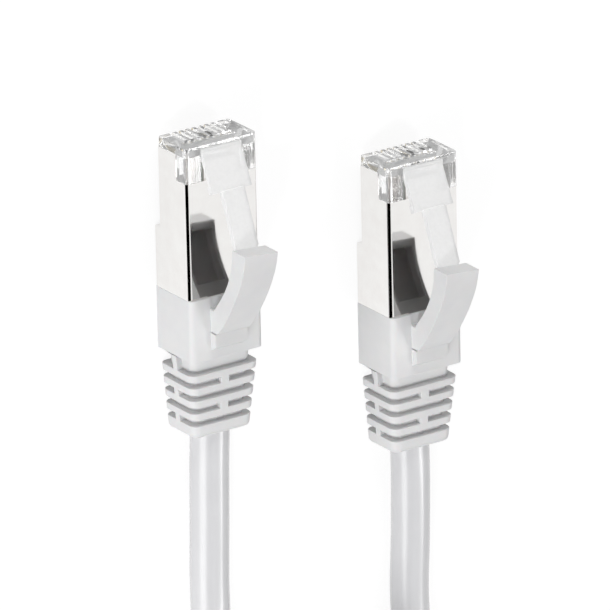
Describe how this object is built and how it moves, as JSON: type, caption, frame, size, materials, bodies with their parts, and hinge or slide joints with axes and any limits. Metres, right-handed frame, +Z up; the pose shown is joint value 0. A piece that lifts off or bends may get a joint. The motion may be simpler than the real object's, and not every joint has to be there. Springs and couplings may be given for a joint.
{
  "type": "ethernet patch cable",
  "caption": "Shielded ethernet patch cable: white moulded boots, clear latches with guard arms, nickel plug shields and a round grey-white cord laid in a coil.",
  "frame": {"origin": "middle of the rectangle that the two plugs cover, on the surface that they lie on", "axes": "+Z up, -Y towards the plug noses, +Y along the plugs towards the cord, +X from plug b to plug a"},
  "size_m": [0.072, 0.1479, 0.0174],
  "materials": {
    "clear_plastic": "clear moulded polycarbonate",
    "gold_contacts": "gold plated",
    "wire_insulation": "coloured polyethylene insulation",
    "nickel_shield": "bright nickel plate",
    "tinned_braid": "tinned copper braid",
    "cord_jacket": "smooth pale grey PVC",
    "white_boot": "moulded white PVC"
  },
  "bodies": {
    "cable": {"plug_housing_a": "clear_plastic", "contacts_a": "gold_contacts", "load_bar_a": "clear_plastic", "conductors_a": "wire_insulation", "shield_a": "nickel_shield", "crimp_ferrule_a": "nickel_shield", "braid_a": "tinned_braid", "jacket_end_a": "cord_jacket", "boot_a": "white_boot", "plug_housing_b": "clear_plastic", "contacts_b": "gold_contacts", "load_bar_b": "clear_plastic", "conductors_b": "wire_insulation", "shield_b": "nickel_shield", "crimp_ferrule_b": "nickel_shield", "braid_b": "tinned_braid", "jacket_end_b": "cord_jacket", "boot_b": "white_boot", "cable_run_a": "cord_jacket", "cable_run_b": "cord_jacket", "cable_coil": "cord_jacket"},
    "latch_a": {"latch_lever_a": "clear_plastic"},
    "guard_a": {"guard_arm_a": "white_boot"},
    "latch_b": {"latch_lever_b": "clear_plastic"},
    "guard_b": {"guard_arm_b": "white_boot"}
  },
  "joints": [
    {"name": "latch_press_a", "type": "hinge", "parent": "cable", "child": "latch_a", "pos_m": [0.0165, -0.0253, 0.00787], "axis": [-1, 0, 0], "range_deg": [0, 12], "stiffness_Nm_per_rad": 0.001},
    {"name": "guard_press_a", "type": "hinge", "parent": "cable", "child": "guard_a", "pos_m": [0.0165, -0.00125, 0.009], "axis": [1, 0, 0], "range_deg": [0, 12], "stiffness_Nm_per_rad": 0.02},
    {"name": "latch_press_b", "type": "hinge", "parent": "cable", "child": "latch_b", "pos_m": [-0.0165, -0.0151, 0.00787], "axis": [-1, 0, 0], "range_deg": [0, 12], "stiffness_Nm_per_rad": 0.001},
    {"name": "guard_press_b", "type": "hinge", "parent": "cable", "child": "guard_b", "pos_m": [-0.0165, 0.00895, 0.009], "axis": [1, 0, 0], "range_deg": [0, 12], "stiffness_Nm_per_rad": 0.02}
  ],
  "couplings": [
    {"joint": "latch_press_a", "follows": "guard_press_a", "ratio": 1},
    {"joint": "latch_press_b", "follows": "guard_press_b", "ratio": 1}
  ]
}
